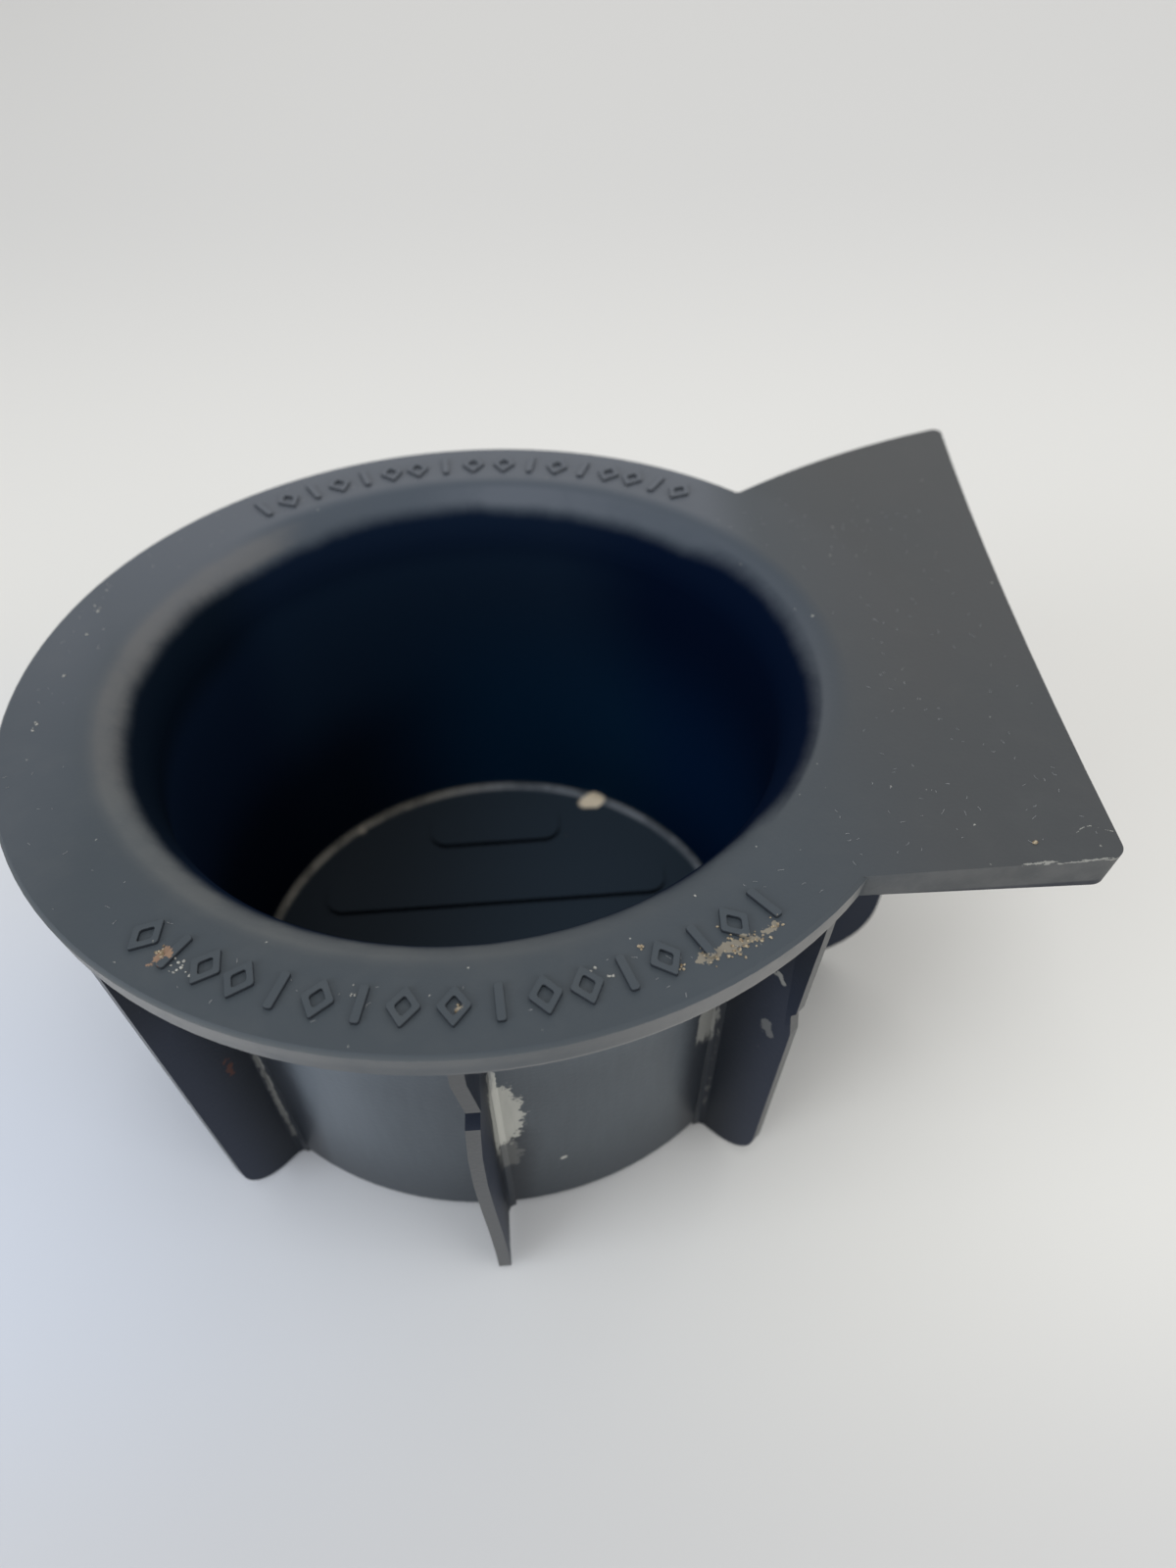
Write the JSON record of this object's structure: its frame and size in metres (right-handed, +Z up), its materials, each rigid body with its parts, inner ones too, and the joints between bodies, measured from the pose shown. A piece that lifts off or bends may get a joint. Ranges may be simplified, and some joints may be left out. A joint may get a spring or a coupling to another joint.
{
  "type": "cup holder insert",
  "caption": "Moulded rubber cup with a flat flange, a side tab and thin radial fins, which centres a small cup or can in a wider holder.",
  "frame": {"origin": "on the cup's axis at the flat foot that it stands on", "axes": "+Z up along the cup's axis to its mouth, +X along the middle of the side tab"},
  "size_m": [0.1175, 0.1, 0.0532],
  "materials": {
    "rubber": "matte moulded rubber, dusty and slightly bloomed grey on its worn edges"
  },
  "bodies": {
    "root": {"cup_insert": "rubber"}
  },
  "joints": []
}
